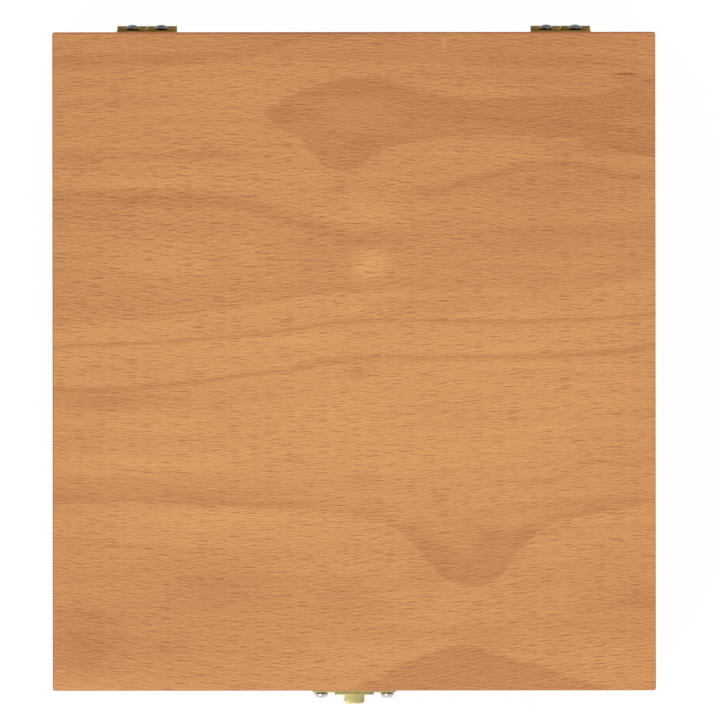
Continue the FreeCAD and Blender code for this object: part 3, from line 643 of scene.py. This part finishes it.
# %% [markdown]
# ## Boards and plates with eased edges
# A maker takes the sharp edge off every board with a stroke of sandpaper, and stamped metal comes
# out with soft edges too. A bevel in the material would only bend the light, and the outline
# would stay sharp, so the edges are cut in the mesh. The frame's meshes are loose triangles. So a
# copy is merged, its flat faces are joined, and its edges are bevelled a little. The copy then
# stands for the frame's piece.

# %% Helpers that finish a mesh
SAME_POINT = 1e-6
SAME_PLANE = math.radians(0.5)


def mesh_of(work, name):
    """What was worked on as a mesh, with all its faces pointing out."""
    bmesh.ops.recalc_face_normals(work, faces=work.faces)
    mesh = bpy.data.meshes.new(name)
    work.to_mesh(mesh)
    work.free()
    return mesh


def merged(name, source):
    """The mesh of a frame piece, with its corners merged and its flat triangles joined."""
    work = bmesh.new()
    work.from_mesh(nodes[source].data)
    bmesh.ops.remove_doubles(work, verts=work.verts, dist=SAME_POINT)
    bmesh.ops.dissolve_limit(work, angle_limit=SAME_PLANE, verts=work.verts, edges=work.edges)
    return mesh_of(work, name)


def applied(thing):
    """thing with its modifiers made part of its mesh."""
    bpy.context.view_layer.update()
    evaluated = thing.evaluated_get(bpy.context.evaluated_depsgraph_get())
    finished = bpy.data.meshes.new_from_object(evaluated)
    thing.modifiers.clear()
    old = thing.data
    thing.data = finished
    bpy.data.meshes.remove(old)
    finished.name = thing.name
    return thing


def shaded(thing, degrees=35):
    """Smooth shading, with edges sharper than that angle left crisp."""
    thing.data.shade_smooth()
    thing.data.set_sharp_from_angle(angle=math.radians(degrees))
    return thing


def dressed(thing, material, source):
    """thing with its finish, riding with the frame piece that it stands for."""
    thing.data.materials.clear()
    thing.data.materials.append(material)
    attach(thing, body_of_node[source])
    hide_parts(source)
    return thing


# %% Boards and plates
BOARD_EDGE, PLY_EDGE, METAL_EDGE, PALETTE_EDGE = 0.35, 0.25, 0.12, 0.9
SHARP_EDGE = math.radians(40)
PLYWOOD = ("case_bottom", "compartment_floor", "drawer_bottom")


def eased(source, material, edge_mm, segments=2):
    """A copy of a frame piece with soft edges, in its place."""
    thing = new_object(source + "_eased", merged(source + "_eased", source))
    bevel = thing.modifiers.new("ease", "BEVEL")
    bevel.width = edge_mm * MM
    bevel.segments = segments
    bevel.limit_method = "ANGLE"
    bevel.angle_limit = SHARP_EDGE
    return dressed(shaded(applied(thing)), material, source)


def eased_part(source, slot):
    """A frame piece with the edge and the finish of its stuff. What repeats is left for later."""
    low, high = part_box(source)
    if source == "lid_top_panel":
        return eased(source, lid_veneer, PLY_EDGE)
    if source in PLYWOOD:
        plywood = beech(source + "_plywood", "XY", plies=(low.z, high.z))
        return eased(source, plywood, PLY_EDGE)
    if slot.startswith("beech"):
        along_x = high.x - low.x > high.y - low.y
        return eased(source, grain_x if along_x else grain_y, BOARD_EDGE)
    if slot == "brass_plated":
        return eased(source, latch_brass if "latch" in source else hinge_brass, METAL_EDGE)
    if source.endswith("_pin"):
        # the pins take the dark steel, painted shade in the knuckle gaps
        return eased(source, pin_steel, METAL_EDGE)
    if slot == "palette_plastic":
        return eased(source, palette_white, PALETTE_EDGE, 3)
    return None


eased_parts = [eased_part(part["node"], part["material_slot"])
               for part in frame["record"]["subparts"]]
eased_parts = [thing for thing in eased_parts if thing is not None]
print("eased", len(eased_parts), "pieces with",
      sum(len(thing.data.polygons) for thing in eased_parts), "faces")

# %% [markdown]
# ## What repeats
# Screws, pans and cakes are each made once and repeated. Copies could be placed one by one, but
# then each would need its own name and its own changes. Geometry nodes take points that say
# where, put a copy on each, turn it a little at random, give it a shade number of its own, and
# wear its top down a little. The seed is fixed, so every run gives the same box.

# %% Geometry nodes that repeat a piece
REPEAT_INPUTS = {"Points": "Geometry", "Piece": "Object", "Turn": "Vector", "Wear": "Float",
                 "Seed": "Int", "Finish": "Material"}
WEAR_SCALE = 130


def grown(tree, kind, settings, sockets):
    """The live output of a new node, fed with values or with other nodes' outputs."""
    node = tree.nodes.new(kind)
    for name, value in settings.items():
        setattr(node, name, value)
    for name, value in sockets.items():
        places = [socket for socket in node.inputs if socket.enabled and socket.name == name]
        place = places[0] if places else node.inputs[name]
        if isinstance(value, bpy.types.NodeSocket):
            tree.links.new(value, place)
        else:
            place.default_value = value
    return next(socket for socket in node.outputs if socket.enabled)


def worn_down(tree, pieces, wear):
    """Lowers each point by a noise, as far as its "worn" mark says."""
    rough = grown(tree, "ShaderNodeTexNoise", {}, {"Scale": WEAR_SCALE})
    mark = grown(tree, "GeometryNodeInputNamedAttribute", {"data_type": "FLOAT"}, {"Name": "worn"})
    deep = grown(tree, "ShaderNodeMath", {"operation": "MULTIPLY"}, {0: rough, 1: wear})
    deeper = grown(tree, "ShaderNodeMath", {"operation": "MULTIPLY"}, {0: deep, 1: mark})
    down = grown(tree, "ShaderNodeCombineXYZ", {}, {"Z": deeper})
    return grown(tree, "GeometryNodeSetPosition", {}, {"Geometry": pieces, "Offset": down})


def repeat_tree():
    """Geometry nodes that put a turned, numbered and worn copy of a piece on each point."""
    tree = bpy.data.node_groups.new("repeat_a_piece", "GeometryNodeTree")
    for name, kind in REPEAT_INPUTS.items():
        tree.interface.new_socket(name, in_out="INPUT", socket_type="NodeSocket" + kind)
    tree.interface.new_socket("Pieces", in_out="OUTPUT", socket_type="NodeSocketGeometry")
    given = tree.nodes.new("NodeGroupInput").outputs
    piece = grown(tree, "GeometryNodeObjectInfo", {}, {"Object": given["Piece"]}).node
    back = grown(tree, "ShaderNodeVectorMath", {"operation": "SCALE"},
                 {0: given["Turn"], "Scale": -1})
    turn = grown(tree, "FunctionNodeRandomValue", {"data_type": "FLOAT_VECTOR"},
                 {"Min": back, "Max": given["Turn"], "Seed": given["Seed"]})
    copies = grown(tree, "GeometryNodeInstanceOnPoints", {},
                   {"Points": given["Points"], "Instance": piece.outputs["Geometry"],
                    "Rotation": turn})
    number = grown(tree, "FunctionNodeRandomValue", {"data_type": "FLOAT"},
                   {"Seed": given["Seed"]})
    numbered = grown(tree, "GeometryNodeStoreNamedAttribute",
                     {"data_type": "FLOAT", "domain": "INSTANCE"},
                     {"Geometry": copies, "Name": "shade", "Value": number})
    real = grown(tree, "GeometryNodeRealizeInstances", {}, {"Geometry": numbered})
    worn = worn_down(tree, real, given["Wear"])
    finished = grown(tree, "GeometryNodeSetMaterial", {},
                     {"Geometry": worn, "Material": given["Finish"]})
    tree.links.new(finished, tree.nodes.new("NodeGroupOutput").inputs[0])
    return tree


REPEAT = repeat_tree()
SOCKETS = {item.name: item.identifier for item in REPEAT.interface.items_tree}
print("the repeating tree has", len(REPEAT.nodes), "nodes")


# %% Repeat a piece
def repeated(name, piece, points, finish, turn=(0, 0, 0), wear=0.0, seed=1):
    """One mesh with a copy of piece at each point. piece itself goes away."""
    mesh = bpy.data.meshes.new(name)
    mesh.from_pydata([tuple(point) for point in points], [], [])
    thing = new_object(name, mesh)
    repeat = thing.modifiers.new("repeat", "NODES")
    repeat.node_group = REPEAT
    for label, value in {"Piece": piece, "Turn": turn, "Wear": wear, "Seed": seed,
                         "Finish": finish}.items():
        repeat[SOCKETS[label]] = value
    applied(thing)
    bpy.data.objects.remove(piece)
    print(name, "has", len(points), "copies and", len(thing.data.polygons), "faces")
    return thing

# %% [markdown]
# ## Screws
# Each plate is held by small round-head wood screws with a cross recess. A dark cross could be
# painted on the head, but a real recess catches the light from every side. So one screw is turned
# about its axis from a profile, a cross-shaped punch is cut out of its head, and the screw is
# then repeated. Nobody lines up the crosses, so each copy has a turn of its own.

# %% One turned screw
HEAD_RADIUS, HEAD_HIGH, BRIM_HIGH = 2.8, 2.6, 0.9
SHANK_RADIUS, SHANK_LONG = 1.1, 7.6
BLADE_LONG, BLADE_THICK = (0.7, 1.5), (0.22, 0.36)      # half of each, at the tip and the top
BLADE_HEIGHTS = (1.2, 3.2)
BLADE_FACES = [(3, 2, 1, 0), (4, 5, 6, 7), (0, 1, 5, 4), (1, 2, 6, 5), (2, 3, 7, 6), (3, 0, 4, 7)]


def bridge(work, rings):
    """Faces from each ring of points to the next. A ring of one point closes an end."""
    for lower, upper in zip(rings, rings[1:]):
        around = max(len(lower), len(upper))
        for step in range(around):
            after = (step + 1) % around
            corners = (lower[step % len(lower)], lower[after % len(lower)],
                       upper[after % len(upper)], upper[step % len(upper)])
            work.faces.new(list(dict.fromkeys(corners)))


def turned_piece(name, profile, around=24):
    """A solid turned about z from a profile of radius and height, in mm."""
    work = bmesh.new()
    turns = [step * math.tau / around for step in range(around)]
    bridge(work, [[work.verts.new((radius * math.cos(turn) * MM, radius * math.sin(turn) * MM,
                                   height * MM)) for turn in (turns if radius else [0])]
                  for radius, height in profile])
    return new_object(name, mesh_of(work, name))


def punch_blade(name, half_x, half_y):
    """A tapered block that cuts one stroke of the cross."""
    points = [(x * half_x[end] * MM, y * half_y[end] * MM, z * MM)
              for end, z in enumerate(BLADE_HEIGHTS)
              for x, y in ((-1, -1), (1, -1), (1, 1), (-1, 1))]
    mesh = bpy.data.meshes.new(name)
    mesh.from_pydata(points, [], BLADE_FACES)
    return new_object(name, mesh)


def screw(points_back):
    """A round-head screw with its head out along +y, or along -y."""
    dome = [(HEAD_RADIUS * math.cos(angle), BRIM_HIGH + (HEAD_HIGH - BRIM_HIGH) * math.sin(angle))
            for angle in [step * math.pi / 14 for step in range(7)]]
    under = [(HEAD_RADIUS * math.cos(angle), BRIM_HIGH * (1 - math.sin(angle)))
             for angle in (0.9, 0.6, 0.3)]
    shank = [(0, -SHANK_LONG), (SHANK_RADIUS, -SHANK_LONG + SHANK_RADIUS), (SHANK_RADIUS, 0),
             (HEAD_RADIUS * 0.6, 0)]
    thing = turned_piece("screw", shank + under + dome + [(0, HEAD_HIGH)])
    blades = [punch_blade("blade_across", BLADE_LONG, BLADE_THICK),
              punch_blade("blade_up", BLADE_THICK, BLADE_LONG)]
    for blade in blades:
        cut = thing.modifiers.new("recess", "BOOLEAN")
        cut.operation = "DIFFERENCE"
        cut.solver = "EXACT"
        cut.object = blade
    applied(thing)
    for blade in blades:
        bpy.data.objects.remove(blade)
    thing.data.transform(Matrix.Rotation(math.radians(-90 if points_back else 90), 4, "X"))
    return shaded(thing, 30)


# %% Screws in their rows
SCREW_PITCH = 12.0      # mm between the two screws of a hinge
SCREW_SEEDS = {"lid_hinge_screws": 3, "case_hinge_screws": 8, "strike_screws": 5,
               "latch_base_screws": 11}
for source, seed in SCREW_SEEDS.items():
    low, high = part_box(source)
    at_back = low.y > 0
    seat_y = (high.y - HEAD_HIGH * MM) if at_back else (low.y + HEAD_HIGH * MM)
    outer = high.x - HEAD_RADIUS * MM
    inner = outer - SCREW_PITCH * MM
    across = (outer, inner, -inner, -outer) if at_back else (outer, -outer)
    # painted shade on the screws at the back, painted light on those at the front
    steel = tarnished_steel if at_back else bright_steel
    points = [(x, seat_y, (low.z + high.z) / 2) for x in across]
    screws = repeated(source + "_turned", screw(at_back), points, steel,
                      turn=(0, math.pi / 4, 0), seed=seed)
    dressed(shaded(screws, 30), steel, source)

# %% [markdown]
# ## Pans and cakes of paint
# A half pan is a small tub with leaning sides, so that it leaves its mould, and with rounded
# corners. It could be carved from a block, but rings of rounded rectangles, one above the other,
# give its outside, its rim and its inside in one go. A cake of paint is pressed into it, with a
# top that dips where the brush has been.

# %% Ringed pieces
MOULD_LEAN = math.tan(math.radians(3))


def lean(depth):
    """How much a pan's wall has come in at that depth below its rim."""
    return depth * MOULD_LEAN


def rounded_ring(work, half_x, half_y, corner, z, steps=4):
    """The corners of a rounded rectangle, in mm."""
    ring = []
    for quarter, (side_x, side_y) in enumerate(((1, 1), (-1, 1), (-1, -1), (1, -1))):
        for step in range(steps + 1):
            angle = math.radians(90 * (quarter + step / steps))
            x = side_x * (half_x - corner) + corner * math.cos(angle)
            y = side_y * (half_y - corner) + corner * math.sin(angle)
            ring.append(work.verts.new((x * MM, y * MM, z * MM)))
    return ring


def ringed_piece(name, rings, worn_from=None):
    """A closed piece through rings of half x, half y, corner and z. It wears from one ring on."""
    work = bmesh.new()
    loops = [rounded_ring(work, *ring) for ring in rings]
    bridge(work, loops)
    work.faces.new(list(reversed(loops[0])))
    work.faces.new(loops[-1])
    mesh = mesh_of(work, name)
    worn = mesh.attributes.new("worn", "FLOAT", "POINT")
    first_worn = len(worn.data) if worn_from is None else worn_from * len(loops[0])
    for index, mark in enumerate(worn.data):
        mark.value = float(index >= first_worn)
    return new_object(name, mesh)


# %% Half pans
PAN_HALF_X, PAN_HALF_Y, PAN_HIGH = 8.0, 9.5, 10.5
PAN_WALL, PAN_FLOOR = 0.9, 1.0
PAN_COLUMNS, PAN_SEED = 12, 2


def pan_ring(inside, corner, z):
    """A ring that lies this far inside the rim's outer edge."""
    return PAN_HALF_X - inside, PAN_HALF_Y - inside, corner, z


pan_outside = [pan_ring(lean(PAN_HIGH), 1.2, 0.0), pan_ring(lean(PAN_HIGH) - 0.1, 1.2, 0.3),
               pan_ring(lean(1.4), 1.3, 9.1), pan_ring(0.02, 1.35, 9.4)]
pan_rim = [pan_ring(0.0, 1.4, 10.2), pan_ring(0.25, 1.2, PAN_HIGH), pan_ring(0.7, 0.9, PAN_HIGH)]
pan_inside = [pan_ring(PAN_WALL, 0.8, 10.2), pan_ring(PAN_WALL + lean(9.2), 0.7, 1.3),
              pan_ring(PAN_WALL + lean(9.5) + 0.3, 0.5, PAN_FLOOR)]
rows = {}
for word in ("front", "second", "third", "back"):
    source = f"half_pans_{word}_row"
    low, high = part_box(source)
    rows[word] = (low.y + high.y) / 2
    step = (high.x - low.x - 2 * PAN_HALF_X * MM) / (PAN_COLUMNS - 1)
    points = [(low.x + PAN_HALF_X * MM + order * step, rows[word], low.z)
              for order in range(PAN_COLUMNS)]
    pan = ringed_piece("half_pan", pan_outside + pan_rim + pan_inside)
    pans = repeated(source + "_moulded", pan, points, pan_white, seed=PAN_SEED)
    dressed(shaded(pans), pan_white, source)

# %% Cakes
CAKE_HIGH, CAKE_WEAR, FIRST_CAKE_SEED = 6.5, -0.0012, 20
HOLLOW = ((0.84, 0.12), (0.68, 0.45), (0.48, 0.85), (0.26, 1.1), (0.1, 1.2))   # share of size, dip
cake_inside = PAN_WALL + lean(9.5) + 0.15
cake_x, cake_y = PAN_HALF_X - cake_inside, PAN_HALF_Y - cake_inside
cake_sides = [pan_ring(cake_inside, 0.5, 0.0),
              pan_ring(cake_inside + lean(CAKE_HIGH) - 0.1, 0.7, 6.0),
              pan_ring(cake_inside + lean(CAKE_HIGH) + 0.35, 0.7, CAKE_HIGH)]
cake_top = [(cake_x * share, cake_y * share, 2.2 * share, CAKE_HIGH - dip) for share, dip in HOLLOW]
for order, word in enumerate(PIGMENTS):
    source = word + "_cakes"
    low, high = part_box(source)
    columns = (low.x + cake_x * MM, high.x - cake_x * MM)
    points = [(x, y, low.z) for x in columns for y in rows.values()]
    cake = ringed_piece("cake", cake_sides + cake_top, len(cake_sides))
    cakes = repeated(source + "_pressed", cake, points, paints[word], wear=CAKE_WEAR,
                     seed=FIRST_CAKE_SEED + order)
    dressed(shaded(cakes), paints[word], source)

# %% [markdown]
# ## Measure and finish
# The dressed box has to fit the box of the frame's pieces, since other parts are made to meet it.
# Comparing by eye would miss a tenth of a millimetre, so both boxes are measured and written down.

# %% Measure and finish
shown_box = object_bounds()
apart = [abs(shown - cad) for corner, other in zip(shown_box, cad_box)
         for shown, cad in zip(corner, other)]
print("the dressed box and the frame's differ by", round(max(apart) / MM, 3), "mm at most")
